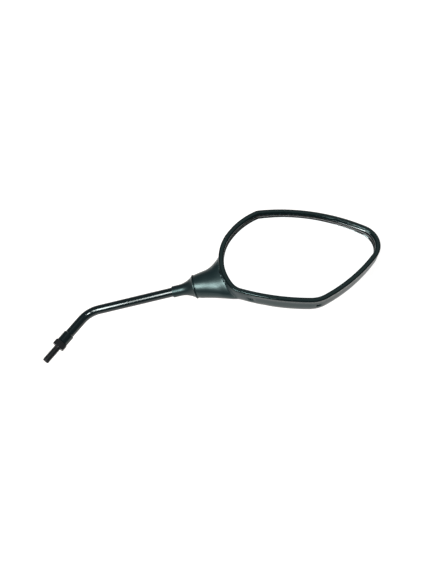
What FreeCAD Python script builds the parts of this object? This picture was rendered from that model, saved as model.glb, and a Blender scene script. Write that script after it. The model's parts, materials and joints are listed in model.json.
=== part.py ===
import FreeCAD, Part
import math
import os

import Sketcher
from FreeCAD import Placement, Rotation, Vector

# Right-hand rear-view mirror of a motorbike, in millimetres, as it stands on the handlebar.
# The origin is on the stud's axis at the seat, the lower face of the lock nut. +Z runs up the
# stud, the stem bends in the XZ plane towards +X, outboard, and the glass looks towards -Y.

doc = FreeCAD.newDocument("rear_view_mirror")
sheet = doc.addObject("Spreadsheet::Sheet", "Sizes")

SIZES = (
    # bent stem
    ("rod_diameter", 10.0),
    ("bend_angle", 45.0),
    ("bend_radius", 28.0),
    ("lower_run", 50.0),
    ("upper_run", 130.0),
    ("spigot_diameter", 8.0),
    ("spigot_length", 15.0),
    ("spigot_in_ball", 3.0),
    ("stud_diameter", 8.0),
    ("stud_length", 20.0),
    ("stud_chamfer", 1.0),
    ("thread_core_diameter", 7.2),
    # lock nut and collar at the foot of the stem
    ("nut_across_flats", 13.0),
    ("nut_height", 6.5),
    ("nut_corner_angle", 30.0),
    ("collar_diameter", 12.0),
    ("collar_length", 12.0),
    ("collar_chamfer", 0.6),
    # fits
    ("thread_clearance", 0.05),
    ("press_clearance", 0.01),
    ("running_clearance", 0.04),
    ("loose_clearance", 0.3),
    # ball joint, measured along the stem from the ball's centre
    ("ball_diameter", 14.0),
    ("liner_thickness", 1.5),
    ("liner_gap", 2.8),
    ("liner_reach", 4.4),
    ("liner_window", 4.0),
    ("cup_front", 4.0),
    ("cup_back", 10.4),
    ("spring_thickness", 0.8),
    ("spring_rise", 0.6),
    ("spring_bore", 7.0),
    ("plate_thickness", 2.0),
    ("plate_half_length", 15.0),
    ("plate_half_width", 8.0),
    ("screw_spacing", 24.0),
    ("screw_diameter", 3.0),
    ("screw_head_diameter", 5.6),
    ("screw_head_height", 2.0),
    ("screw_length", 10.0),
    # boot
    ("boot_sleeve_diameter", 12.3),
    ("boot_start", 35.4),
    ("boot_flare_start", 28.0),
    ("boot_flare_radius", 25.6),
    ("boot_bell_diameter", 24.4),
    ("boot_lip_diameter", 25.8),
    ("boot_lip_width", 1.5),
    ("boot_wall", 1.7),
    # neck of the housing, about the stem's line
    ("neck_sweep", 18.0),
    ("neck_rise", 13.5),
    ("head_twist", 98.0),
    ("neck_end", 10.1),
    ("neck_spigot_diameter", 20.8),
    ("neck_spigot_length", 2.5),
    ("mouth_diameter", 17.2),
    ("seat_front", 4.9),
    # outline of the rim: five corners joined by five long arcs
    ("tip_x", 151.2),
    ("tip_y", 65.5),
    ("tip_radius", 24.9),
    ("crown_x", 44.8),
    ("crown_y", 80.7),
    ("crown_radius", 8.8),
    ("side_x", 51.5),
    ("side_y", 37.8),
    ("side_radius", 41.5),
    ("heel_x", 41.2),
    ("heel_y", 8.4),
    ("heel_radius", 21.7),
    ("toe_x", 106.6),
    ("toe_y", 21.3),
    ("toe_radius", 33.1),
    ("top_edge", 203.0),
    ("shoulder_edge", 80.0),
    ("flank_edge", 56.3),
    ("base_edge", 249.0),
    ("sweep_edge", 187.0),
    # head, measured from the ball's centre towards the viewer of the glass
    ("lip_front", 19.5),
    ("lip_height", 1.9),
    ("lip_width", 5.5),
    ("lip_outer_round", 1.5),
    ("lip_inner_round", 1.9),
    ("wall_thickness", 2.5),
    ("skirt_back", 6.6),
    ("skirt_clearance", 0.1),
    ("rebate_inset", 4.2),
    ("glass_inset", 4.5),
    ("glass_radius", 1200.0),
    ("glass_apex", 16.0),
    ("glass_thickness", 2.0),
    ("glass_centre_x", 92.0),
    ("glass_centre_y", 43.0),
    ("seal_thickness", 0.8),
    ("seal_inset", 5.9),
    ("foam_thickness", 6.6),
    ("foam_inset", 5.2),
    ("ledge_inset", 7.0),
    ("layer_clearance", 0.05),
    # snap windows in the wall
    ("window_length", 5.6),
    ("window_height", 2.8),
    ("window_level", 7.0),
    ("hook_depth", 1.0),
    ("base_window_inner", 51.0),
    ("base_window_outer", 120.9),
    ("top_window_inner", 62.0),
    ("top_window_outer", 128.0),
)
# Sections of the bowl from the rim to the middle of its back: level in front of the ball, how far
# the shrunk outline grows on all sides, which rounds its corners, and its share of the rim's size.
BOWL_SECTIONS = (
    ("wall", 8.5, 0.0, 0.994),
    ("turn", 1.0, 2.5, 0.94),
    ("shoulder", -5.0, 4.7, 0.82),
    ("back", -11.0, 7.5, 0.60),
    ("crest", -15.8, 9.5, 0.32),
    ("middle", -18.0, 8.0, 0.10),
)
# The same of the cavity in the bowl; below its ledge it keeps a wall's thickness inside the bowl.
CAVITY_SECTIONS = (
    ("ledge", 9.5, -7.0, 1.0),
    ("turn", 3.0, -2.5, 0.95),
    ("shoulder", -3.0, 1.2, 0.82),
    ("back", -8.6, 4.7, 0.60),
    ("crest", -13.0, 6.7, 0.32),
    ("middle", -15.0, 5.2, 0.10),
)
# Sections of the neck: distance along the stem from the ball, half width across the head, half
# depth, and the shift of the section up the head and towards its back.
NECK_SECTIONS = (
    ("waist", -4.0, 13.9, 12.9, -0.1, 0.3),
    ("swell", 3.0, 15.5, 13.4, -0.1, 0.8),
    ("shoulder", 10.0, 18.3, 14.0, 0.6, 1.4),
    ("root", 17.0, 22.8, 14.8, 2.9, 1.7),
    ("flare", 22.0, 26.4, 14.2, 5.0, 2.8),
    ("rim", 27.0, 29.6, 14.0, 7.0, 4.2),
    ("fairing", 34.0, 28.6, 13.4, 6.4, 6.4),
    ("run_out", 50.0, 18.0, 8.0, 6.0, 12.0),
)
BOWL_WORDS = ("level", "growth", "share")
NECK_WORDS = ("distance", "half_width", "half_depth", "shift_up", "shift_back")
SECTION_SIZES = (
    ("bowl", BOWL_WORDS, BOWL_SECTIONS),
    ("cavity", BOWL_WORDS, CAVITY_SECTIONS),
    ("neck", NECK_WORDS, NECK_SECTIONS),
)
named = list(SIZES)
for form, words, sections in SECTION_SIZES:
    for place, *values in sections:
        named += [("%s_%s_%s" % (form, place, word), value) for word, value in zip(words, values)]
for row, (alias, value) in enumerate(named, start=1):
    sheet.set("A%d" % row, alias)
    sheet.set("B%d" % row, str(value))
    sheet.setAlias("B%d" % row, alias)
doc.recompute()

CORNERS = ("tip", "crown", "side", "heel", "toe")
EDGES = ("top_edge", "shoulder_edge", "flank_edge", "base_edge", "sweep_edge")
OUTLINE_FOCUS = ("Sizes.glass_centre_x", "Sizes.glass_centre_y")

sub_parts = {}


def number(expression):
    """Value of an expression over the sheet."""
    return float(sheet.evalExpression(expression))


def size(alias):
    return number("Sizes." + alias)


def bind(item, **expressions):
    """Tie properties to expressions over the sheet; a double underscore stands for a dot."""
    for name, expression in expressions.items():
        item.setExpression(name.replace("__", "."), expression)
    return item


def new(kind, name, **expressions):
    return bind(doc.addObject(kind, name), **expressions)


def hand_in(label, item, frame):
    """Give a finished sub-part its label and its place."""
    item.Label = label
    item.Placement = frame
    sub_parts[label] = item
    return item


def combine(kind, name, *items):
    result = doc.addObject(kind, name)
    if kind == "Part::Cut":
        result.Base, result.Tool = items
    else:
        result.Shapes = list(items)
    return result


def origin_plane(body, role):
    return next(item for item in body.Origin.OriginFeatures if item.Role == role)


def sketch_in(body, name, role):
    sketch = body.newObject("Sketcher::SketchObject", name)
    sketch.AttachmentSupport = [(origin_plane(body, role), "")]
    sketch.MapMode = "FlatFace"
    return sketch


def fix(sketch, constraint, expression):
    """Add a dimension and tie it to the sheet."""
    index = sketch.addConstraint(constraint)
    sketch.setExpression("Constraints[%d]" % index, expression)


def fix_point(sketch, geometry, end, across, along):
    """Hold one end of a line or arc at two expressions from the sketch's origin."""
    for kind, axis, expression in (("DistanceX", -2, across), ("DistanceY", -1, along)):
        if expression == "0":
            sketch.addConstraint(Sketcher.Constraint("PointOnObject", geometry, end, axis))
        else:
            value = number(expression)
            fix(sketch, Sketcher.Constraint(kind, -1, 1, geometry, end, value), expression)


def arc_between(start, end, radius, turn):
    """Arc from start to end; turn is 1 for anticlockwise and -1 for clockwise."""
    chord = end - start
    side = Vector(-chord.y, chord.x, 0).normalize() * turn
    centre = (start + end) / 2 + side * math.sqrt(radius**2 - chord.Length**2 / 4)
    first, last = (start, end) if turn > 0 else (end, start)
    angles = [math.atan2(p.y - centre.y, p.x - centre.x) for p in (first, last)]
    return Part.ArcOfCircle(Part.Circle(centre, Vector(0, 0, 1), radius), *angles)


def draw_profile(sketch, points):
    """Closed profile through (across, along); two more entries make the next side an arc."""
    places = [Vector(number(p[0]), number(p[1]), 0) for p in points]
    count = len(points)
    ends = []
    for i, point in enumerate(points):
        start, end = places[i], places[(i + 1) % count]
        if len(point) == 2:
            side = sketch.addGeometry(Part.LineSegment(start, end))
            ends.append((side, 1, 2))
        else:
            radius, turn = point[2:]
            side = sketch.addGeometry(arc_between(start, end, number(radius), turn))
            fix(sketch, Sketcher.Constraint("Radius", side, number(radius)), radius)
            ends.append((side, 1, 2) if turn > 0 else (side, 2, 1))
    for i, point in enumerate(points):
        side, start, end = ends[i]
        after, after_start, _ = ends[(i + 1) % count]
        sketch.addConstraint(Sketcher.Constraint("Coincident", side, end, after, after_start))
        fix_point(sketch, side, start, point[0], point[1])


def turned(name, points):
    """Body turned about its own Z axis from a profile of (radius, height) points."""
    body = doc.addObject("PartDesign::Body", name)
    sketch = sketch_in(body, name + "_profile", "XZ_Plane")
    draw_profile(sketch, points)
    revolution = body.newObject("PartDesign::Revolution", name + "_turned")
    revolution.Profile = sketch
    revolution.ReferenceAxis = (sketch, ["V_Axis"])
    revolution.Angle = 360
    return body


def edge_centre(first, last, span, first_radius, last_radius):
    """Centre of the long arc that two corner circles touch from inside."""
    chord = last - first
    first_reach, last_reach = span - first_radius, span - last_radius
    foot = (first_reach**2 - last_reach**2 + chord.Length**2) / (2 * chord.Length)
    along = Vector(chord).normalize()
    return first + along * foot + Vector(-along.y, along.x, 0) * math.sqrt(first_reach**2 - foot**2)


def outline(name, level, inset="0", share="1"):
    """Sketch of the rim outline at a level, moved inwards by inset, or shrunk to a share."""
    sketch = new("Sketcher::SketchObject", name, Placement__Base__z=level)
    focus_x, focus_y = OUTLINE_FOCUS
    centres, radii = [], []
    for corner in CORNERS:
        x = "%s + (Sizes.%s_x - %s) * (%s)" % (focus_x, corner, focus_x, share)
        y = "%s + (Sizes.%s_y - %s) * (%s)" % (focus_y, corner, focus_y, share)
        centres.append((x, y))
        radii.append("Sizes.%s_radius * (%s) - (%s)" % (corner, share, inset))
    spans = ["Sizes.%s * (%s) - (%s)" % (edge, share, inset) for edge in EDGES]
    points = [Vector(number(x), number(y), 0) for x, y in centres]
    count = len(CORNERS)
    touches = []
    for i in range(count):
        after = (i + 1) % count
        ends = (points[i], points[after])
        span = number(spans[i])
        centre = edge_centre(*ends, span, number(radii[i]), number(radii[after]))
        touches.append([centre + (p - centre).normalize() * span for p in ends])
    arcs = []
    for i in range(count):
        after = (i + 1) % count
        start, end = touches[i]
        arcs.append((start, end, spans[i]))
        arcs.append((end, touches[after][0], radii[after]))
    sides = [sketch.addGeometry(arc_between(s, e, number(r), 1)) for s, e, r in arcs]
    for i, side in enumerate(sides):
        after = sides[(i + 1) % len(sides)]
        sketch.addConstraint(Sketcher.Constraint("Tangent", side, 2, after, 1))
        fix(sketch, Sketcher.Constraint("Radius", side, number(arcs[i][2])), arcs[i][2])
        if i % 2:
            x, y = centres[(i + 1) // 2 % count]
            fix_point(sketch, side, 3, x, y)
    return sketch


def slab(name, low, high, inset="0"):
    """Rim outline moved inwards by inset, as a block between two levels."""
    block = new("Part::Extrusion", name, LengthFwd="(%s) - (%s)" % (high, low))
    block.Base = outline(name + "_outline", low, inset)
    block.DirMode = "Custom"
    block.Dir = Vector(0, 0, 1)
    block.Solid = True
    return block


def glass_ball(name, depth):
    """Ball whose front is parallel to the front of the glass, depth behind it, its poles at the sides."""
    radius = "Sizes.glass_radius - (%s)" % depth
    ball = new("Part::Sphere", name, Radius=radius)
    ball.Placement = Placement(Vector(), Rotation(Vector(0, 1, 0), 90))
    return bind(
        ball,
        Placement__Base__x="Sizes.glass_centre_x",
        Placement__Base__y="Sizes.glass_centre_y",
        Placement__Base__z="Sizes.glass_apex - Sizes.glass_radius",
    )


def glass_layer(name, front, back, inset):
    """Curved sheet parallel to the glass, cut to the outline moved inwards by inset."""
    balls = (glass_ball(name + "_front", front), glass_ball(name + "_back", back))
    shell = combine("Part::Cut", name + "_shell", *balls)
    blank = slab(name + "_blank", "0", "Sizes.lip_front", inset)
    return combine("Part::MultiCommon", name, blank, shell)


# Frames: the ball's centre on the stem's line, the neck of the head turned on it, and the head.
bend = Rotation(Vector(0, 1, 0), size("bend_angle"))
ball_centre = Vector(0, 0, size("lower_run")) + bend.multVec(Vector(0, 0, size("upper_run")))
rod_frame = Placement(ball_centre, bend)
neck_frame = rod_frame * Placement(Vector(), Rotation(Vector(0, 0, 1), size("head_twist")))
neck_lean = Rotation(Vector(0, 1, 0), 90 - size("neck_rise"))
neck_turn = Rotation(Vector(0, 0, 1), size("neck_sweep")) * neck_lean
neck_in_head = Placement(Vector(), neck_turn)
head_frame = neck_frame * neck_in_head.inverse()
ground = Placement()

BALL = "Sizes.ball_diameter / 2"
LINER_INSIDE = "(Sizes.ball_diameter / 2 + Sizes.running_clearance)"
LINER_OUTSIDE = "(Sizes.ball_diameter / 2 + Sizes.liner_thickness)"
SEAT = "(Sizes.ball_diameter / 2 + Sizes.liner_thickness + Sizes.running_clearance)"
WASHER = "(Sizes.spring_thickness + Sizes.spring_rise)"
PLATE_SEAT = "(Sizes.cup_back + 2 * %s + 3 * Sizes.layer_clearance)" % WASHER
PLATE_TOP = "(%s + Sizes.plate_thickness)" % PLATE_SEAT


def on_ball(radius, height):
    """Distance from the axis of the point of a ball at a height."""
    return "sqrt((%s)^2 - (%s)^2)" % (radius, height)


def make_stem_rod():
    body = doc.addObject("PartDesign::Body", "stem_rod")
    reach = number("Sizes.bend_radius * tan(Sizes.bend_angle / 2 * 1 deg)")
    path = sketch_in(body, "stem_path", "XZ_Plane")
    foot = Vector(0, size("nut_height"), 0)
    vertex = Vector(0, size("lower_run"), 0)
    turn = math.radians(size("bend_angle"))
    away = Vector(math.sin(turn), math.cos(turn), 0)
    low, high = vertex - Vector(0, reach, 0), vertex + away * reach
    top = vertex + away * (size("upper_run") - size("spigot_length"))
    path.addGeometry(Part.LineSegment(foot, low))
    path.addGeometry(arc_between(low, high, size("bend_radius"), -1))
    path.addGeometry(Part.LineSegment(high, top))
    path.addConstraint(Sketcher.Constraint("Tangent", 0, 2, 1, 2))
    path.addConstraint(Sketcher.Constraint("Tangent", 1, 1, 2, 1))
    fix_point(path, 0, 1, "0", "Sizes.nut_height")
    fix(path, Sketcher.Constraint("Radius", 1, size("bend_radius")), "Sizes.bend_radius")
    rise = "Sizes.lower_run + (Sizes.upper_run - Sizes.spigot_length) * cos(Sizes.bend_angle * 1 deg)"
    across = "(Sizes.upper_run - Sizes.spigot_length) * sin(Sizes.bend_angle * 1 deg)"
    fix_point(path, 2, 2, across, rise)
    path.addConstraint(Sketcher.Constraint("Vertical", 0))
    round_bar = sketch_in(body, "stem_section", "XY_Plane")
    bind(round_bar, AttachmentOffset__Base__z="Sizes.nut_height")
    add_circle(round_bar, "Sizes.rod_diameter / 2")
    pipe = body.newObject("PartDesign::AdditivePipe", "stem_bar")
    pipe.Profile = round_bar
    pipe.Spine = (path, ["Edge1", "Edge2", "Edge3"])
    pad_down(body, "stud_core", "Sizes.nut_height", "Sizes.thread_core_diameter / 2", "Sizes.nut_height")
    pad_down(body, "stud", "0", "Sizes.stud_diameter / 2", "Sizes.stud_length")
    spigot = body.newObject("PartDesign::AdditiveCylinder", "spigot")
    spigot.AttachmentSupport = [(origin_plane(body, "XY_Plane"), "")]
    spigot.MapMode = "FlatFace"
    bind(
        spigot,
        Radius="Sizes.spigot_diameter / 2",
        Height="Sizes.spigot_length + Sizes.spigot_in_ball",
        AttachmentOffset__Base__x=across,
        AttachmentOffset__Base__z=rise,
        AttachmentOffset__Rotation__Angle="Sizes.bend_angle",
    )
    spigot.AttachmentOffset = Placement(spigot.AttachmentOffset.Base, bend)
    doc.recompute()
    edges = spigot.Shape.Edges
    lowest = min(range(len(edges)), key=lambda i: edges[i].CenterOfMass.z)
    chamfer = body.newObject("PartDesign::Chamfer", "stud_point")
    chamfer.Base = (spigot, ["Edge%d" % (lowest + 1)])
    bind(chamfer, Size="Sizes.stud_chamfer")
    hand_in("stem_rod", body, ground)


def add_circle(sketch, radius):
    ring = sketch.addGeometry(Part.Circle(Vector(), Vector(0, 0, 1), number(radius)))
    sketch.addConstraint(Sketcher.Constraint("Coincident", ring, 3, -1, 1))
    fix(sketch, Sketcher.Constraint("Radius", ring, number(radius)), radius)


def pad_down(body, name, level, radius, length):
    """Round pad on the body's own axis, from a level downwards."""
    sketch = sketch_in(body, name + "_round", "XY_Plane")
    bind(sketch, AttachmentOffset__Base__z=level)
    add_circle(sketch, radius)
    pad = body.newObject("PartDesign::Pad", name)
    pad.Profile = sketch
    pad.Reversed = True
    bind(pad, Length=length)


def make_foot():
    """Collar pressed on the foot of the bar, and the lock nut under it."""
    inner = "Sizes.rod_diameter / 2 + Sizes.press_clearance"
    outer = "Sizes.collar_diameter / 2"
    low = "Sizes.nut_height"
    high = "Sizes.nut_height + Sizes.collar_length"
    cut = "Sizes.collar_chamfer"
    collar = turned(
        "collar",
        (
            (inner, low),
            (outer + " - " + cut, low),
            (outer, low + " + " + cut),
            (outer, high + " - " + cut),
            (outer + " - " + cut, high),
            (inner, high),
        ),
    )
    hand_in("stem_collar", collar, ground)
    flats = "Sizes.nut_across_flats / 2"
    corner = "(Sizes.nut_across_flats / 2 / cos(30 deg))"
    prism = new("Part::Prism", "nut_hexagon", Circumradius=corner, Height="Sizes.nut_height")
    prism.Polygon = 6
    slope = "(%s - %s) * tan(Sizes.nut_corner_angle * 1 deg)" % (corner, flats)
    bore = "Sizes.thread_core_diameter / 2 + Sizes.thread_clearance"
    blank = turned(
        "nut_blank",
        (
            (bore, "0"),
            (flats, "0"),
            (corner, slope),
            (corner, "Sizes.nut_height - (%s)" % slope),
            (flats, "Sizes.nut_height"),
            (bore, "Sizes.nut_height"),
        ),
    )
    hand_in("lock_nut", combine("Part::MultiCommon", "nut", prism, blank), ground)


def make_ball_joint():
    """Ball, nylon halves, pressure cup, springs, plate and screws, along the stem's line."""
    bore = "Sizes.spigot_diameter / 2 + Sizes.press_clearance"
    bottom = "Sizes.spigot_in_ball + Sizes.press_clearance"
    front = "-" + on_ball(BALL, bore)
    ball = turned("ball", ((bore, front, BALL, 1), ("0", BALL), ("0", bottom), (bore, bottom)))
    hand_in("pivot_ball", ball, rod_frame)
    reach, gap = "-Sizes.liner_reach", "-Sizes.liner_gap / 2"
    front_half = turned(
        "front_half",
        (
            (on_ball(LINER_INSIDE, "Sizes.liner_reach"), reach),
            (on_ball(LINER_OUTSIDE, "Sizes.liner_reach"), reach, LINER_OUTSIDE, 1),
            (on_ball(LINER_OUTSIDE, "Sizes.liner_gap / 2"), gap),
            (on_ball(LINER_INSIDE, "Sizes.liner_gap / 2"), gap, LINER_INSIDE, -1),
        ),
    )
    hand_in("liner_front", front_half, rod_frame)
    gap = "Sizes.liner_gap / 2"
    window = "Sizes.liner_window"
    rear_half = turned(
        "rear_half",
        (
            (on_ball(LINER_INSIDE, gap), gap),
            (on_ball(LINER_OUTSIDE, gap), gap, LINER_OUTSIDE, 1),
            (window, on_ball(LINER_OUTSIDE, window)),
            (window, on_ball(LINER_INSIDE, window), LINER_INSIDE, -1),
        ),
    )
    hand_in("liner_rear", rear_half, rod_frame)
    low, high = "Sizes.cup_front", "Sizes.cup_back"
    cup = turned(
        "cup",
        (
            (on_ball(SEAT, low), low),
            (LINER_OUTSIDE, low),
            (LINER_OUTSIDE, high),
            (window, high),
            (window, on_ball(SEAT, window), SEAT, -1),
        ),
    )
    hand_in("pressure_cup", cup, neck_frame)
    make_springs()
    make_plate()


def make_springs():
    """Two conical spring washers, rim to rim."""
    inner = "Sizes.spring_bore / 2"
    outer = "Sizes.ball_diameter / 2 + Sizes.liner_thickness - Sizes.loose_clearance"
    low = "Sizes.cup_back + Sizes.layer_clearance"
    middle = "%s + %s + Sizes.layer_clearance" % (low, WASHER)
    rise, thick = "Sizes.spring_rise", "Sizes.spring_thickness"
    washers = []
    for name, inner_low, outer_low in (
        ("low_washer", low, "%s + %s" % (low, rise)),
        ("high_washer", "%s + %s" % (middle, rise), middle),
    ):
        inner_high, outer_high = ("%s + %s" % (level, thick) for level in (inner_low, outer_low))
        profile = ((inner, inner_low), (outer, outer_low), (outer, outer_high), (inner, inner_high))
        washers.append(turned(name, profile))
    pair = doc.addObject("Part::Compound", "springs")
    pair.Links = washers
    hand_in("disc_springs", pair, neck_frame)


def oblong(name, low, length, half_length, half_width):
    """Flat-sided block with round ends, across the neck, from a distance along the stem."""
    body = doc.addObject("PartDesign::Body", name)
    sketch = sketch_in(body, name + "_shape", "XY_Plane")
    bind(sketch, AttachmentOffset__Base__z=low)
    straight = "(%s) - (%s)" % (half_length, half_width)
    draw_profile(
        sketch,
        (
            ("-(%s)" % half_width, "-(%s)" % straight, half_width, 1),
            ("0", "-(%s)" % half_length, half_width, 1),
            (half_width, "-(%s)" % straight),
            (half_width, straight, half_width, 1),
            ("0", half_length, half_width, 1),
            ("-(%s)" % half_width, straight),
        ),
    )
    pad = body.newObject("PartDesign::Pad", name + "_pad")
    pad.Profile = sketch
    bind(pad, Length=length)
    return body


def screw_places():
    return [Vector(0, side * size("screw_spacing") / 2, 0) for side in (-1, 1)]


def make_plate():
    half_length, half_width = "Sizes.plate_half_length", "Sizes.plate_half_width"
    blank = oblong("plate_blank", PLATE_SEAT, "Sizes.plate_thickness", half_length, half_width)
    holes = doc.addObject("Part::Compound", "plate_holes")
    holes.Links = [screw_hole("plate_hole_%d" % i, place) for i, place in enumerate(screw_places())]
    hand_in("spring_plate", combine("Part::Cut", "plate", blank, holes), neck_frame)
    shank, head = "Sizes.screw_diameter / 2", "Sizes.screw_head_diameter / 2"
    top = "(%s + Sizes.layer_clearance)" % PLATE_TOP
    crown = "(%s + Sizes.screw_head_height)" % top
    dome = "((%s)^2 + (Sizes.screw_head_height / 2)^2) / Sizes.screw_head_height" % head
    profile = (
        ("0", "%s - Sizes.screw_length" % top),
        (shank, "%s - Sizes.screw_length" % top),
        (shank, top),
        (head, top),
        (head, top + " + Sizes.screw_head_height / 2", dome, 1),
        ("0", crown),
    )
    screws = []
    for i, place in enumerate(screw_places()):
        screw = turned("screw_%d" % i, profile)
        screw.Placement = Placement(place, Rotation())
        screws.append(screw)
    pair = doc.addObject("Part::Compound", "screws")
    pair.Links = screws
    hand_in("plate_screws", pair, neck_frame)


def screw_hole(name, place):
    """Bore for a plate screw, through the plate and into its boss."""
    bore = new(
        "Part::Cylinder",
        name,
        Radius="Sizes.screw_diameter / 2 + Sizes.layer_clearance",
        Height="Sizes.screw_length + Sizes.screw_head_height",
    )
    depth = number(PLATE_TOP + " - Sizes.screw_length")
    bore.Placement = Placement(place + Vector(0, 0, depth), Rotation())
    return bore


def make_boot():
    sleeve = "Sizes.boot_sleeve_diameter / 2"
    grip = "Sizes.rod_diameter / 2 + Sizes.press_clearance"
    lip_back = "-(Sizes.neck_end + Sizes.layer_clearance)"
    lip_front = "-(Sizes.neck_end + Sizes.layer_clearance + Sizes.boot_lip_width)"
    hold = "Sizes.neck_spigot_diameter / 2 + Sizes.layer_clearance"
    hold_front = "-(Sizes.neck_end + Sizes.neck_spigot_length + Sizes.loose_clearance)"
    flare = "-Sizes.boot_flare_start"
    boot = turned(
        "boot",
        (
            (grip, "-Sizes.boot_start"),
            (sleeve, "-Sizes.boot_start"),
            (sleeve, flare, "Sizes.boot_flare_radius", -1),
            ("Sizes.boot_bell_diameter / 2", lip_front),
            ("Sizes.boot_lip_diameter / 2", lip_front),
            ("Sizes.boot_lip_diameter / 2", lip_back),
            (hold, lip_back),
            (hold, hold_front),
            ("Sizes.boot_bell_diameter / 2 - 2 * Sizes.boot_wall", hold_front, "Sizes.boot_flare_radius", 1),
            (grip, flare),
        ),
    )
    hand_in("rubber_boot", boot, rod_frame)


def neck_oval(name, distance, half_width, half_depth, shift_up="0", shift_back="0"):
    """Oval section of the neck, square to the stem, its long way across the head."""
    oval = new("Part::Ellipse", name, MajorRadius=half_width, MinorRadius=half_depth)
    centre = neck_in_head.multVec(Vector(number(shift_back), number(shift_up), number(distance)))
    oval.Placement = Placement(centre, neck_turn * Rotation(Vector(0, 0, 1), 90))
    return oval


def sections_of(form, sections):
    """Outline sketches of the bowl or its cavity, from its rows of the sheet."""
    sketches = []
    for row in sections:
        name = "%s_%s" % (form, row[0])
        level, growth, share = ("Sizes.%s_%s" % (name, word) for word in BOWL_WORDS)
        sketches.append(outline(name, level, "-" + growth, share))
    return sketches


def loft(name, sections):
    skin = doc.addObject("Part::Loft", name)
    skin.Sections = sections
    skin.Solid = True
    skin.Ruled = False
    return skin


def edge_circle(edge):
    """Centre and radius of a long edge of the rim outline."""
    i = EDGES.index(edge)
    pair = (CORNERS[i], CORNERS[(i + 1) % len(CORNERS)])
    first, last = (Vector(size(corner + "_x"), size(corner + "_y"), 0) for corner in pair)
    first_radius, last_radius = (size(corner + "_radius") for corner in pair)
    return edge_centre(first, last, size(edge), first_radius, last_radius), size(edge)


def snaps():
    """Places of the snap windows: a frame whose X runs out of the wall and Z to the front."""
    toe = Vector(size("toe_x"), size("toe_y"), 0), size("toe_radius")
    frames = []
    for (centre, radius), up, name in (
        (edge_circle("base_edge"), -1, "base_window_inner"),
        (toe, -1, "base_window_outer"),
        (edge_circle("top_edge"), 1, "top_window_inner"),
        (edge_circle("top_edge"), 1, "top_window_outer"),
    ):
        across = size(name) - centre.x
        outward = Vector(across, up * math.sqrt(radius**2 - across**2), 0)
        angle = math.degrees(math.atan2(outward.y, outward.x))
        place = centre + outward + Vector(0, 0, size("window_level"))
        frames.append(Placement(place, Rotation(Vector(0, 0, 1), angle)))
    return frames


def snap_block(name, frame, depth_in, depth_out, slack):
    """Block at a snap window, from depth_in inside the outline to depth_out outside it."""
    block = new(
        "Part::Box",
        name,
        Width="Sizes.window_length - 2 * (%s)" % slack,
        Height="Sizes.window_height - 2 * (%s)" % slack,
        Length="(%s) + (%s)" % (depth_in, depth_out),
    )
    corner = Vector(-number(depth_in), -size("window_length") / 2 + number(slack), number(slack))
    block.Placement = frame * Placement(corner, Rotation())
    return block


def make_housing():
    rim = "Sizes.lip_front - Sizes.lip_height"
    bowl = loft("bowl", [outline("bowl_rim", rim)] + sections_of("bowl", BOWL_SECTIONS))
    end = "Sizes.boot_bell_diameter / 2"
    ovals = [neck_oval("neck_ring", "-Sizes.neck_end", end, end)]
    for row in NECK_SECTIONS:
        name = "neck_" + row[0]
        ovals.append(neck_oval(name, *("Sizes.%s_%s" % (name, word) for word in NECK_WORDS)))
    neck = loft("neck", ovals)
    collar = new("Part::Cylinder", "neck_spigot", Radius="Sizes.neck_spigot_diameter / 2")
    bind(collar, Height="Sizes.neck_spigot_length + Sizes.neck_end")
    far_end = Vector(0, 0, -size("neck_end") - size("neck_spigot_length"))
    collar.Placement = neck_in_head * Placement(far_end, Rotation())
    outside = combine("Part::MultiFuse", "housing_outside", bowl, neck, collar)
    cavity = loft("cavity", sections_of("cavity", CAVITY_SECTIONS))
    pocket_blank = slab("pocket_blank", "0", "Sizes.lip_front", "Sizes.wall_thickness")
    foam_back = "Sizes.glass_thickness + Sizes.foam_thickness + 3 * Sizes.layer_clearance"
    pocket = combine("Part::Cut", "glass_pocket", pocket_blank, glass_ball("pocket_floor", foam_back))
    mouth = "Sizes.mouth_diameter / 2"
    outer_end = "-(Sizes.neck_end + Sizes.neck_spigot_length + Sizes.wall_thickness)"
    socket = turned(
        "socket",
        (
            ("0", outer_end),
            (mouth, outer_end),
            (mouth, "-Sizes.neck_end"),
            (on_ball(SEAT, "Sizes.seat_front"), "-Sizes.seat_front", SEAT, 1),
            (SEAT, "0"),
            (SEAT, PLATE_SEAT),
            ("0", PLATE_SEAT),
        ),
    )
    socket.Placement = neck_in_head
    room = oblong(
        "plate_room",
        PLATE_SEAT,
        "Sizes.plate_half_length + Sizes.wall_thickness",
        "Sizes.plate_half_length + Sizes.loose_clearance",
        "Sizes.plate_half_width + Sizes.loose_clearance",
    )
    room.Placement = neck_in_head
    bores = [screw_hole("boss_bore_%d" % i, place) for i, place in enumerate(screw_places())]
    for bore in bores:
        bore.Placement = neck_in_head * bore.Placement
    wall = "Sizes.wall_thickness"
    inside = "2 * Sizes.wall_thickness + Sizes.layer_clearance"
    windows = [snap_block("window_%d" % i, frame, inside, wall, "0") for i, frame in enumerate(snaps())]
    hollow = combine("Part::MultiFuse", "housing_hollow", cavity, pocket, socket, room, *bores, *windows)
    hand_in("housing", combine("Part::Cut", "housing_shell", outside, hollow), head_frame)


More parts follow.
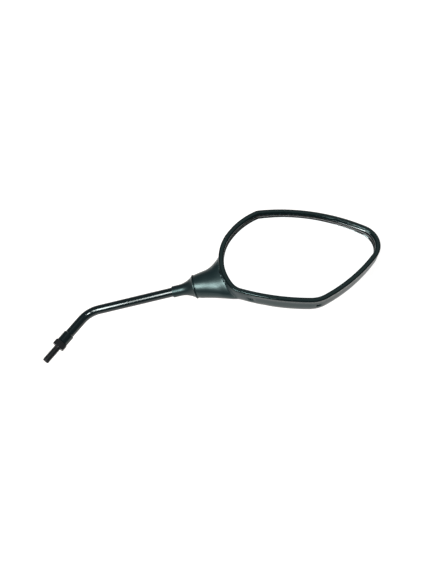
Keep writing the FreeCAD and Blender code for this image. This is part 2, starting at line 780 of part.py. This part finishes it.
def make_bezel():
    seat = "Sizes.lip_front - Sizes.lip_height"
    fit = "Sizes.wall_thickness + Sizes.skirt_clearance"
    lip = slab("lip_ring", seat, "Sizes.lip_front")
    skirt = slab("skirt_ring", "Sizes.skirt_back", "Sizes.lip_front - Sizes.lip_height / 2", fit)
    opening = slab("bezel_opening", "0", "Sizes.lip_front + Sizes.lip_height", "Sizes.lip_width")
    blank = combine("Part::MultiFuse", "bezel_blank", lip, skirt)
    ring = combine("Part::Cut", "bezel_ring", blank, opening)
    doc.recompute()
    bead = doc.addObject("Part::Fillet", "bezel_bead")
    bead.Base = ring
    bead.Edges = bead_edges(ring)
    rebate_front = "-(Sizes.seal_thickness + 2 * Sizes.layer_clearance)"
    rebate = combine(
        "Part::MultiCommon",
        "rebate",
        slab("rebate_blank", "0", seat, "Sizes.rebate_inset"),
        glass_ball("rebate_front", rebate_front),
    )
    framed = combine("Part::Cut", "bezel_frame", bead, rebate)
    inner = "(Sizes.wall_thickness + Sizes.rebate_inset) / 2"
    outer = "Sizes.hook_depth - Sizes.wall_thickness"
    slack = "Sizes.loose_clearance"
    hooks = [snap_block("hook_%d" % i, frame, inner, outer, slack) for i, frame in enumerate(snaps())]
    hand_in("bezel", combine("Part::MultiFuse", "bezel_with_hooks", framed, *hooks), head_frame)


def bead_edges(ring):
    """Edges round the front of the lip with the radius of their round."""
    front = size("lip_front")
    rim = outline("bead_guide", "Sizes.lip_front")
    doc.recompute()
    rounds = []
    for i, edge in enumerate(ring.Shape.Edges, start=1):
        if edge.BoundBox.ZMin < front - Part.Precision.approximation():
            continue
        start = Part.Vertex(edge.valueAt(edge.FirstParameter))
        on_rim = rim.Shape.distToShape(start)[0] < size("layer_clearance")
        radius = size("lip_outer_round" if on_rim else "lip_inner_round")
        rounds.append((i, radius, radius))
    return rounds


def make_glass():
    gap = "Sizes.layer_clearance"
    glass = glass_layer("glass", "0", "Sizes.glass_thickness", "Sizes.glass_inset")
    hand_in("mirror_glass", glass, head_frame)
    foam_front = "Sizes.glass_thickness + " + gap
    foam_back = "Sizes.glass_thickness + Sizes.foam_thickness + " + gap
    hand_in("foam_pad", glass_layer("foam", foam_front, foam_back, "Sizes.foam_inset"), head_frame)
    seal_front = "-(Sizes.seal_thickness + %s)" % gap
    strip = glass_layer("seal_sheet", seal_front, "-" + gap, "Sizes.rebate_inset + " + gap)
    opening = slab("seal_opening", "0", "Sizes.lip_front", "Sizes.seal_inset")
    hand_in("glass_seal", combine("Part::Cut", "seal", strip, opening), head_frame)


make_stem_rod()
make_foot()
make_ball_joint()
make_boot()
make_housing()
make_bezel()
make_glass()
doc.recompute()

for item in doc.Objects:
    if "Invalid" in item.State or "Error" in item.State:
        raise RuntimeError("%s did not build: %s" % (item.Name, item.State))
for label, item in sub_parts.items():
    if item.Shape.isNull() or not item.Shape.isValid():
        raise RuntimeError("%s has no sound shape" % label)

os.makedirs("parts", exist_ok=True)
for label, item in sub_parts.items():
    item.Shape.exportStep(os.path.join("parts", label + ".step"))
    print("%-14s %d solid(s) %10.1f mm3" % (label, len(item.Shape.Solids), item.Shape.Volume))
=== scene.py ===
import json
import math

import bpy
from mathutils import Matrix, Vector

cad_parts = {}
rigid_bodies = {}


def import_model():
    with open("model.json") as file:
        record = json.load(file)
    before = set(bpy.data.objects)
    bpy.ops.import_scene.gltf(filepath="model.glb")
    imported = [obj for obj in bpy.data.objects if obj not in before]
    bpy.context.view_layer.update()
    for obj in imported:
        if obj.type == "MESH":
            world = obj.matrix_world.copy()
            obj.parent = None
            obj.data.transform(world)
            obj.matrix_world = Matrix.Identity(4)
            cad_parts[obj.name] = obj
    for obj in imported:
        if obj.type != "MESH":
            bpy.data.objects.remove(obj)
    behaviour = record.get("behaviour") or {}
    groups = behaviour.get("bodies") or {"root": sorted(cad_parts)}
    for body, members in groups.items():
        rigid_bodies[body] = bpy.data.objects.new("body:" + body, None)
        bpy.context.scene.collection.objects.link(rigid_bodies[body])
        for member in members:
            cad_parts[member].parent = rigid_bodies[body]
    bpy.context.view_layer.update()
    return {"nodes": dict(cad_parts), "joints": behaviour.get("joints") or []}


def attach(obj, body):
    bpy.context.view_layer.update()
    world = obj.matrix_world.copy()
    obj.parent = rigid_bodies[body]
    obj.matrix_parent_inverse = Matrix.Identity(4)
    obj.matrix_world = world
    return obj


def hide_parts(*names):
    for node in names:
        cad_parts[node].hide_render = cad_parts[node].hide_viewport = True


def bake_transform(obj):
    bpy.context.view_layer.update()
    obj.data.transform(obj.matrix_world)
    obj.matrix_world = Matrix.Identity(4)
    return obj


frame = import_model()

# Right-hand rear-view mirror of a motorbike, dressed over its CAD solids. The scene is in metres,
# and sizes are written in millimetres.
# The neck's own axes: Z along the bar towards the head, X the hinge of the cant, Y that of the pan.
# The head's own axes: X along the glass towards its tip, Y up the glass, Z out of the glass.
# Both start from the centre of the ball joint.

MM = 0.001
# Angles of the neck's line in the plane of the glass, and out of that plane.
NECK_SWEEP = math.radians(18.0)
NECK_RISE = math.radians(13.5)

nodes = frame["nodes"]
joints = {joint["name"]: joint for joint in frame["joints"]}
scene = bpy.context.scene


def axes_at(place, x, y, z):
    """Frame with the given origin and axes."""
    turn = Matrix((x, y, z)).transposed().to_4x4()
    return Matrix.Translation(place) @ turn


ball = Vector(joints["head_twist"]["pos_m"])
along_rod = Vector(joints["head_twist"]["axis"])
cant_hinge = Vector(joints["head_cant"]["axis"])
pan_hinge = Vector(joints["head_pan"]["axis"])
neck_axes = axes_at(ball, cant_hinge, pan_hinge, along_rod)
neck_turn = Matrix.Rotation(NECK_SWEEP, 4, "Z") @ Matrix.Rotation(math.pi / 2 - NECK_RISE, 4, "Y")
head_axes = neck_axes @ neck_turn.inverted()


def linear(code):
    """sRGB hex colour as linear red, green, blue and alpha."""
    shares = [int(code[i : i + 2], 16) / 255 for i in (1, 3, 5)]
    return [s / 12.92 if s <= 0.04045 else ((s + 0.055) / 1.055) ** 2.4 for s in shares] + [1.0]


def add(tree, kind, settings=(), inputs=(), links=()):
    """Node with its settings, its socket values, and links into it from (node, socket)."""
    node = tree.nodes.new(kind)
    for name, value in dict(settings).items():
        setattr(node, name, value)
    for socket, value in dict(inputs).items():
        node.inputs[socket].default_value = value
    for socket, (source, output) in dict(links).items():
        tree.links.new(source.outputs[output], node.inputs[socket])
    return node


def surface(name, colour, **sockets):
    """Material with one surface shader of the given sRGB colour and socket values."""
    material = bpy.data.materials.new(name)
    material.use_nodes = True
    shader = material.node_tree.nodes["Principled BSDF"]
    shader.inputs["Base Color"].default_value = linear(colour)
    for socket, value in sockets.items():
        shader.inputs[socket.replace("_", " ")].default_value = value
    return material


def roughen(material, grain_mm, height_mm, strength):
    """Fine random relief whose grains are about grain_mm across."""
    tree = material.node_tree
    place = add(tree, "ShaderNodeTexCoord")
    grains = add(
        tree,
        "ShaderNodeTexNoise",
        inputs={"Scale": 1 / (grain_mm * MM), "Detail": 2.0, "Roughness": 0.5},
        links={"Vector": (place, "Object")},
    )
    relief = add(
        tree,
        "ShaderNodeBump",
        inputs={"Strength": strength, "Distance": height_mm * MM},
        links={"Height": (grains, "Fac")},
    )
    tree.links.new(relief.outputs["Normal"], tree.nodes["Principled BSDF"].inputs["Normal"])


# Baked black enamel over a polished steel bar: deep black with sharp reflections.
enamel = surface(
    "Black enamel on steel",
    "#070e10",
    Roughness=0.12,
    Specular_IOR_Level=0.42,
    Specular_Tint=linear("#eefaf8"),
)
# Black zinc plate on turned steel: dull dark metal.
black_zinc = surface("Black zinc plated steel", "#16181a", Metallic=0.5, Roughness=0.4)
# Moulded rubber: black, with a low, soft sheen.
rubber = surface(
    "Moulded black rubber",
    "#081012",
    Roughness=0.34,
    Specular_IOR_Level=0.36,
    Specular_Tint=linear("#ccf2f0"),
)
# Moulded ABS with a fine spark-eroded grain: satin, so lamps spread into soft patches. The real
# grain is about 0.1 mm; it is drawn at 0.35 mm so that it shows.
satin_abs = surface(
    "Satin moulded ABS",
    "#081315",
    Roughness=0.35,
    Specular_IOR_Level=0.46,
    Specular_Tint=linear("#d2f2f0"),
)
roughen(satin_abs, grain_mm=0.35, height_mm=0.02, strength=0.25)
# ABS from a polished mould: black with clear reflections.
gloss_abs = surface(
    "Gloss moulded ABS",
    "#050c0d",
    Roughness=0.1,
    Specular_IOR_Level=0.22,
    Specular_Tint=linear("#ccf2f0"),
)
# Silvered glass: a clear, slightly cool mirror.
silvered = surface("Silvered glass", "#f6f8f8", Metallic=1.0, Roughness=0.015)
# Soft extruded strip round the glass: dull black.
strip = surface("Soft black strip", "#0c0d0d", Roughness=0.6)
# Ball ground to size: bright steel with slightly blurred reflections.
ground_steel = surface("Ground steel", "#c4c4c2", Metallic=1.0, Roughness=0.22)
# Clear zinc plate on pressed steel: pale grey metal, half dull.
plated = surface("Zinc plated steel", "#c9cbc6", Metallic=1.0, Roughness=0.35)
# Hardened and oiled spring washers: dark grey metal.
spring_steel = surface("Oiled spring steel", "#6c6d70", Metallic=1.0, Roughness=0.4)
# Unfilled moulded nylon: cream white, waxy.
nylon = surface("Natural nylon", "#e9e5d8", Roughness=0.45)
# Glass-filled moulded nylon: charcoal, dull.
filled_nylon = surface("Filled black nylon", "#1c1d1e", Roughness=0.55)
# Open foam cut from sheet: mid grey without any shine.
foam = surface("Grey foam", "#4c4d4f", Roughness=0.95)

FINISHES = {
    "stem_collar": enamel,
    "lock_nut": black_zinc,
    "mirror_glass": silvered,
    "glass_seal": strip,
    "pivot_ball": ground_steel,
    "liner_front": nylon,
    "liner_rear": nylon,
    "pressure_cup": filled_nylon,
    "disc_springs": spring_steel,
    "spring_plate": plated,
    "plate_screws": plated,
    "foam_pad": foam,
}
for name, finish in FINISHES.items():
    nodes[name].data.materials.clear()
    nodes[name].data.materials.append(finish)

# Edges over these angles, in degrees, stay sharp.
METAL_EDGE, RUBBER_EDGE, FRAME_EDGE = 35, 50, 40
# Points closer than this, in metres, are one point.
SAME_POINT = 1e-6


def edit_all(item):
    """Open one object for editing with all of it selected."""
    bpy.ops.object.select_all(action="DESELECT")
    item.select_set(True)
    bpy.context.view_layer.objects.active = item
    bpy.ops.object.mode_set(mode="EDIT")
    bpy.ops.mesh.select_all(action="SELECT")


def ring(name, radius, level, sides):
    """Start of a turned piece: one open ring about Z, left in edit mode."""
    bpy.ops.object.select_all(action="DESELECT")
    bpy.ops.mesh.primitive_circle_add(vertices=sides, radius=radius * MM, location=(0, 0, level * MM))
    item = bpy.context.object
    item.name = name
    bpy.ops.object.transform_apply()
    edit_all(item)
    return item


def pull(rings):
    """Extrude the selected ring through (radius, level) pairs in millimetres; the first is where it is."""
    for (r0, z0), (r1, z1) in zip(rings, rings[1:]):
        bpy.ops.mesh.extrude_region_move(TRANSFORM_OT_translate={"value": (0, 0, (z1 - z0) * MM)})
        grow = r1 / r0
        bpy.ops.transform.resize(value=(grow, grow, 1), center_override=(0, 0, z1 * MM))


def complete(item, axes, finish, sharp_angle):
    """Complete a piece in edit mode: normals outwards, put into its axes, smooth but for sharp edges."""
    bpy.ops.mesh.select_all(action="SELECT")
    bpy.ops.mesh.normals_make_consistent(inside=False)
    bpy.ops.object.mode_set(mode="OBJECT")
    item.matrix_world = axes
    bpy.ops.object.transform_apply()
    bpy.ops.object.shade_smooth_by_angle(angle=math.radians(sharp_angle))
    item.data.materials.append(finish)
    return item


# Stem: the bar from the nut up, through its bend, to the spigot in the ball.
ROD, NUT_HEIGHT, LOWER_RUN, UPPER_RUN = 10.0, 6.5, 50.0, 130.0
BEND_RADIUS, BEND = 28.0, math.radians(45.0)
SPIGOT, SPIGOT_LENGTH, SPIGOT_IN_BALL = 8.0, 15.0, 3.0
EDGE = 0.5
ROD_SIDES, BEND_STEPS = 40, 18
bend_reach = BEND_RADIUS * math.tan(BEND / 2)
bend_start = LOWER_RUN - bend_reach
stem = ring("stem", ROD / 2, NUT_HEIGHT, ROD_SIDES)
pull([(ROD / 2, NUT_HEIGHT), (ROD / 2, bend_start)])
bend_centre = Vector((BEND_RADIUS, 0, bend_start)) * MM
bpy.ops.mesh.spin(steps=BEND_STEPS, angle=-BEND, center=bend_centre, axis=(0, 1, 0))
up_rod = Vector((math.sin(BEND), 0, math.cos(BEND)))
shoulder = UPPER_RUN - SPIGOT_LENGTH
for length, grow in (
    (shoulder - bend_reach - EDGE, 1.0),
    (EDGE, 1 - 2 * EDGE / ROD),
    (0.0, SPIGOT / (ROD - 2 * EDGE)),
    (SPIGOT_LENGTH + SPIGOT_IN_BALL, 1.0),
):
    bpy.ops.mesh.extrude_region_move(TRANSFORM_OT_translate={"value": up_rod * length * MM})
    if grow != 1.0:
        bpy.ops.transform.resize(value=(grow, grow, grow))
bpy.ops.mesh.fill()
complete(stem, Matrix(), enamel, METAL_EDGE)
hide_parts("stem_rod")
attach(stem, "stem")

# Threaded stud at the foot: a core with a 60-degree thread wound on it.
STUD, STUD_LENGTH, PITCH, TURNS = 8.0, 20.0, 1.25, 14
CORE = STUD - 1.1 * PITCH
STUD_SIDES = 32
# The end face is drawn in to this radius, and one small face closes it.
END_HOLE = CORE / 20
stud = ring("threaded_stud", CORE / 2, NUT_HEIGHT, STUD_SIDES)
stud_rings = [
    (CORE / 2, NUT_HEIGHT),
    (CORE / 2, EDGE - STUD_LENGTH),
    (CORE / 2 - EDGE, -STUD_LENGTH),
    (END_HOLE, -STUD_LENGTH),
]
pull(stud_rings)
bpy.ops.mesh.edge_face_add()
complete(stud, Matrix(), black_zinc, METAL_EDGE)
bpy.ops.object.select_all(action="DESELECT")
ridge_radius = PITCH / math.sqrt(3)
bpy.ops.mesh.primitive_circle_add(
    vertices=3,
    radius=ridge_radius * MM,
    location=((STUD / 2 - ridge_radius) * MM, 0, (PITCH - STUD_LENGTH) * MM),
    rotation=(math.pi / 2, math.pi / 2, 0),
)
thread = bpy.context.object
thread.name = "stud_thread"
bpy.ops.object.transform_apply()
winding = thread.modifiers.new("winding", "SCREW")
winding.steps = STUD_SIDES
winding.render_steps = STUD_SIDES
winding.screw_offset = PITCH * MM
winding.iterations = TURNS
winding.use_smooth_shade = False
bpy.ops.object.modifier_apply(modifier="winding")
edit_all(thread)
bpy.ops.mesh.remove_doubles(threshold=SAME_POINT)
complete(thread, Matrix(), black_zinc, METAL_EDGE)
for item in (stud, thread):
    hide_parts("stem_rod")
    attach(item, "stem")

# Rubber boot, in two lengths: the sleeve, and the bell from there on.
# Radii first, then levels along the bar, from the ball's centre.
SLEEVE, FLARE, BELL, LIP, WALL = 6.15, 25.6, 12.2, 12.9, 0.9
BOOT_START, FLARE_START, LIP_FRONT, LIP_BACK = -35.4, -28.0, -11.65, -10.15
BEND_START, SPLIT = -24.0, -15.5
GRIP = ROD / 2 + 0.05
# Rounds of the mouth and the lip: how far each reaches, and how far its middle lies from the corner.
MOUTH_ROUND, MOUTH_CORNER, MOUTH_BEVEL = 0.6, 0.15, 0.2
LIP_ROUND, LIP_CORNER = 0.35, 0.1
# The flare runs into the lip over this length, through one point just below the bell's radius.
RUN_IN, RUN_IN_POINT = 0.5, (0.15, 0.12)
# The inner wall starts this far from the lip, with a step inwards, and ends this far from the split.
INNER_GAP, INNER_STEP = 1.0, 0.4
BOOT_SIDES, MOUTH_RINGS, SLEEVE_RINGS, BELL_RINGS, INNER_RINGS = 64, 6, 18, 8, 6


def trumpet(level):
    """Outer radius of the boot's flare at a level before the ball."""
    return SLEEVE + FLARE - math.sqrt(FLARE**2 - (level - FLARE_START) ** 2)


def levels(first, last, count):
    """Levels from the first to the last in equal steps."""
    return [first + (last - first) * i / count for i in range(count + 1)]


sleeve_rings = [
    (GRIP, BOOT_START + MOUTH_BEVEL),
    (SLEEVE - MOUTH_ROUND, BOOT_START),
    (SLEEVE - MOUTH_CORNER, BOOT_START + MOUTH_CORNER),
]
sleeve_rings += [(SLEEVE, z) for z in levels(BOOT_START + MOUTH_ROUND, FLARE_START, MOUTH_RINGS)]
sleeve_rings += [(trumpet(z), z) for z in levels(FLARE_START, SPLIT, SLEEVE_RINGS)[1:]]
sleeve = ring("boot_sleeve", *sleeve_rings[0], BOOT_SIDES)
pull(sleeve_rings)
complete(sleeve, neck_axes, rubber, RUBBER_EDGE)
bell_rings = [(trumpet(z), z) for z in levels(SPLIT, LIP_FRONT - RUN_IN, BELL_RINGS)]
bell_rings += [
    (BELL - RUN_IN_POINT[0], LIP_FRONT - RUN_IN_POINT[1]),
    (LIP - LIP_ROUND, LIP_FRONT),
    (LIP - LIP_CORNER, LIP_FRONT + LIP_CORNER),
    (LIP, LIP_FRONT + LIP_ROUND),
    (LIP, LIP_BACK - LIP_ROUND),
    (LIP - LIP_CORNER, LIP_BACK - LIP_CORNER),
    (LIP - LIP_ROUND, LIP_BACK),
    (BELL - WALL, LIP_BACK),
    (BELL - WALL - INNER_STEP, LIP_FRONT),
]
inner_levels = levels(LIP_FRONT - INNER_GAP, SPLIT + INNER_GAP, INNER_RINGS)
bell_rings += [(trumpet(z) - WALL, z) for z in inner_levels]
bell = ring("boot_bell", *bell_rings[0], BOOT_SIDES)
pull(bell_rings)
complete(bell, neck_axes, rubber, RUBBER_EDGE)
for item, inner, outer, low, high in (
    (sleeve, "rear_half", "front_half", BEND_START, SPLIT),
    (bell, "front_half", "head", SPLIT, LIP_FRONT),
):
    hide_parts("rubber_boot")
    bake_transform(item)


def copy_of(node, name):
    """Copy of a CAD node with its triangles joined, left in edit mode."""
    bpy.ops.object.select_all(action="DESELECT")
    nodes[node].select_set(True)
    bpy.context.view_layer.objects.active = nodes[node]
    bpy.ops.object.duplicate()
    item = bpy.context.object
    item.name = name
    item.data.materials.clear()
    bpy.ops.object.parent_clear(type="CLEAR_KEEP_TRANSFORM")
    bpy.ops.object.transform_apply()
    edit_all(item)
    bpy.ops.mesh.remove_doubles(threshold=SAME_POINT)
    return item


# Frame ring of the glass, with its rounds shaded through.
frame_ring = complete(copy_of("bezel", "frame_ring"), Matrix(), gloss_abs, FRAME_EDGE)
evened = frame_ring.modifiers.new("evened", "WEIGHTED_NORMAL")
evened.keep_sharp = True
bpy.ops.object.modifier_apply(modifier="evened")
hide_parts("bezel")
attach(frame_ring, "head")

# Housing: the moulded shell in one skin, with the crease between neck and bowl drawn into a hollow.
SKIN_GRAIN = 0.9
# A point is part of the crease when it lies this far off its neighbours, beside the neck or behind it.
CREASE, BACK_CREASE = 0.03, 0.014
# Where the crease runs: along the neck's line from the ball, across that line, and out of the glass.
CREASE_START, SIDE_END, BACK_END = 12, 50, 56
SIDE_LOWEST, BACK_HIGHEST = -26, 15
BACK_HEIGHT, RIM_HEIGHT = -4, 16.9
BOWL_MIDDLE = Vector((92.0, 43.0, 5.0)) * MM
# Rings of points taken in, and passes over them: first the crease, then the edge of that patch.
SMOOTHING = ((8, 36), (3, 8), (3, 5))
# The seat of the ball's liners is eased, so that this coarser skin stays clear of them.
SEAT_REACH, SEAT_EASE = 11.6, 0.5
to_head = head_axes.inverted()
neck_line = (head_axes.to_3x3().inverted() @ along_rod).normalized()
neck_side = Vector((-math.sin(NECK_SWEEP), math.cos(NECK_SWEEP), 0))


def hollows(skin):
    """How far each point lies below the mean of its neighbours, in millimetres along its normal."""
    neighbours = [[] for _ in skin.vertices]
    for edge in skin.edges:
        a, b = edge.vertices
        neighbours[a].append(b)
        neighbours[b].append(a)
    depths = []
    for v in skin.vertices:
        near = neighbours[v.index]
        mean = sum((skin.vertices[i].co for i in near), Vector()) / len(near)
        depths.append((mean - v.co).dot(v.normal) / MM)
    return depths


def in_crease(v, hollow):
    """Whether a point of the skin belongs to the crease between neck and bowl, on the outside."""
    place = to_head @ v.co
    outward = to_head.to_3x3() @ v.normal
    along = place.dot(neck_line) / MM
    across = place.dot(neck_side) / MM
    height = place.z / MM
    outside = outward.dot(place - BOWL_MIDDLE) > 0
    at_back = height < BACK_HEIGHT and CREASE_START < along < BACK_END and across < BACK_HIGHEST
    at_side = height < RIM_HEIGHT and CREASE_START < along < SIDE_END and across > SIDE_LOWEST
    creased_back = at_back and abs(hollow) > BACK_CREASE
    creased_side = at_side and hollow > CREASE
    return outside and (creased_back or creased_side)


shell = copy_of("housing", "housing_shell")
bpy.ops.object.mode_set(mode="OBJECT")
shell.data.remesh_voxel_size = SKIN_GRAIN * MM
bpy.ops.object.voxel_remesh()
skin = shell.data
heights = [(to_head @ v.co).z / MM for v in skin.vertices]
chosen = [in_crease(v, hollow) for v, hollow in zip(skin.vertices, hollows(skin))]
skin.polygons.foreach_set("select", [False] * len(skin.polygons))
skin.edges.foreach_set("select", [False] * len(skin.edges))
skin.vertices.foreach_set("select", chosen)
bpy.ops.object.mode_set(mode="EDIT")
bpy.ops.mesh.select_mode(type="VERT")
for reach, passes in SMOOTHING:
    for _ in range(reach):
        bpy.ops.mesh.select_more()
    bpy.ops.object.mode_set(mode="OBJECT")
    for v in skin.vertices:
        v.select = v.select and heights[v.index] < RIM_HEIGHT
    bpy.ops.object.mode_set(mode="EDIT")
    bpy.ops.mesh.vertices_smooth(factor=0.5, repeat=passes)
bpy.ops.mesh.select_all(action="DESELECT")
bpy.ops.object.mode_set(mode="OBJECT")
for v in skin.vertices:
    v.select = (to_head @ v.co).length < SEAT_REACH * MM
bpy.ops.object.mode_set(mode="EDIT")
bpy.ops.transform.shrink_fatten(value=-SEAT_EASE * MM)
bpy.ops.object.mode_set(mode="OBJECT")
bpy.ops.object.shade_smooth()
skin.materials.append(satin_abs)
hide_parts("housing")
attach(shell, "head")


def head_point(x, y, z):
    """Point of the head's own axes, in millimetres, in the scene."""
    return head_axes @ (Vector((x, y, z)) * MM)


def head_direction(x, y, z):
    """Direction of the head's own axes, in the scene."""
    return (head_axes.to_3x3() @ Vector((x, y, z))).normalized()


def aim(item, place, towards, up):
    """Put a camera or lamp at a place, looking along -Z at a point, with its Y nearest to up."""
    back = (place - towards).normalized()
    right = up.cross(back).normalized()
    item.matrix_world = axes_at(place, right, back.cross(right), back)


# Camera of the photograph: 62 degrees above the plane of the glass, 900 mm away.
PHOTO_HEIGHT = 571
FOCAL_PIXELS = 857.1
SENSOR = 36.0
CAMERA_DISTANCE = 900 * MM
# The camera aims at this point of the head, less a small step down the picture.
AIM_POINT, AIM_DROP = (9.6, 0.0, 1.45), 0.47
to_camera = head_direction(0.0815, -0.4623, 0.883)
image_up = head_direction(-0.1533, 0.8696, 0.469)
target = head_point(*AIM_POINT) - image_up * AIM_DROP * MM
bpy.ops.object.camera_add()
camera = bpy.context.object
camera.data.sensor_fit = "AUTO"
camera.data.sensor_width = SENSOR
camera.data.lens = SENSOR * FOCAL_PIXELS / PHOTO_HEIGHT
aim(camera, target + to_camera * CAMERA_DISTANCE, target, image_up)
scene.camera = camera

# White table under the mirror, low enough to clear the head at every pose, seen from its upper side only.
TABLE_SIZE = 6.0
TABLE_DROP = 90.0
table_normal = head_direction(-0.0737, -0.0412, 1.0)
heights_of_part = [
    table_normal.dot(node.matrix_world @ v.co) for node in nodes.values() for v in node.data.vertices
]
bpy.ops.object.select_all(action="DESELECT")
bpy.ops.mesh.primitive_plane_add(size=TABLE_SIZE)
table = bpy.context.object
table.name = "white_table"
middle = head_point(60, 30, 0)
table_level = min(heights_of_part) - TABLE_DROP * MM
table_middle = middle + table_normal * (table_level - table_normal.dot(middle))
across_table = head_direction(1, 0, 0).cross(table_normal).normalized()
table.matrix_world = axes_at(table_middle, across_table.cross(table_normal), across_table, table_normal)
table.visible_shadow = False
white = surface(
    "White table",
    "#77726e",
    Roughness=0.9,
    Emission_Color=linear("#ffffff"),
    Emission_Strength=0.93,
)
tree = white.node_tree
side = add(tree, "ShaderNodeNewGeometry")
clear = add(tree, "ShaderNodeBsdfTransparent")
one_sided = add(
    tree,
    "ShaderNodeMixShader",
    links={
        "Fac": (side, "Backfacing"),
        1: (tree.nodes["Principled BSDF"], "BSDF"),
        2: (clear, "BSDF"),
    },
)
tree.links.new(one_sided.outputs["Shader"], tree.nodes["Material Output"].inputs["Surface"])
table.data.materials.append(white)


def lamp(name, direction, distance, along_bar, across_bar, brightness):
    """Soft box aimed at the middle of the head from a direction of its axes; distance and sides in metres."""
    bpy.ops.object.light_add(type="AREA")
    light = bpy.context.object
    light.name = name
    light.data.shape = "RECTANGLE"
    light.data.size = along_bar
    light.data.size_y = across_bar
    light.data.energy = brightness * math.pi * along_bar * across_bar
    place = middle + head_direction(*direction) * distance
    aim(light, place, middle, (place - middle).cross(along_rod).normalized())


# Dim and broad, beyond the top of the glass, which mirrors it to the camera.
lamp("broad_lamp", (0.0815, 0.4623, 0.883), 1.3, 1.2, 1.0, 1.1)
# Bright and narrow, on the camera's side: the light on the neck and along the bar.
lamp("front_lamp", (-0.31, -0.497, 0.81), 1.35, 0.16, 0.6, 30.0)
lamp("stem_lamp", (-0.475, -0.543, 0.692), 1.35, 0.28, 0.6, 42.0)
# Small and bright, for the inside of the frame ring.
lamp("ring_lamp", (-0.088, -0.382, 0.92), 1.34, 0.2, 0.22, 80.0)
# For the back, which is turned from the camera.
lamp("rear_lamp", (-0.45, 0.5, -0.75), 1.2, 0.5, 0.5, 14.0)

# White room for the camera, dim in reflections.
ROOM_WHITE = (1.0, 1.0, 1.0, 1.0)
ROOM_DIM = 0.14
world = bpy.data.worlds.new("White room")
world.use_nodes = True
tree = world.node_tree
room = tree.nodes["Background"]
room.inputs["Color"].default_value = ROOM_WHITE
dim_room = add(tree, "ShaderNodeBackground", inputs={"Color": ROOM_WHITE, "Strength": ROOM_DIM})
ray = add(tree, "ShaderNodeLightPath")
seen_or_mirrored = add(
    tree,
    "ShaderNodeMixShader",
    links={"Fac": (ray, "Is Camera Ray"), 1: (dim_room, "Background"), 2: (room, "Background")},
)
tree.links.new(seen_or_mirrored.outputs["Shader"], tree.nodes["World Output"].inputs["Surface"])
scene.world = world
scene.view_settings.view_transform = "Standard"
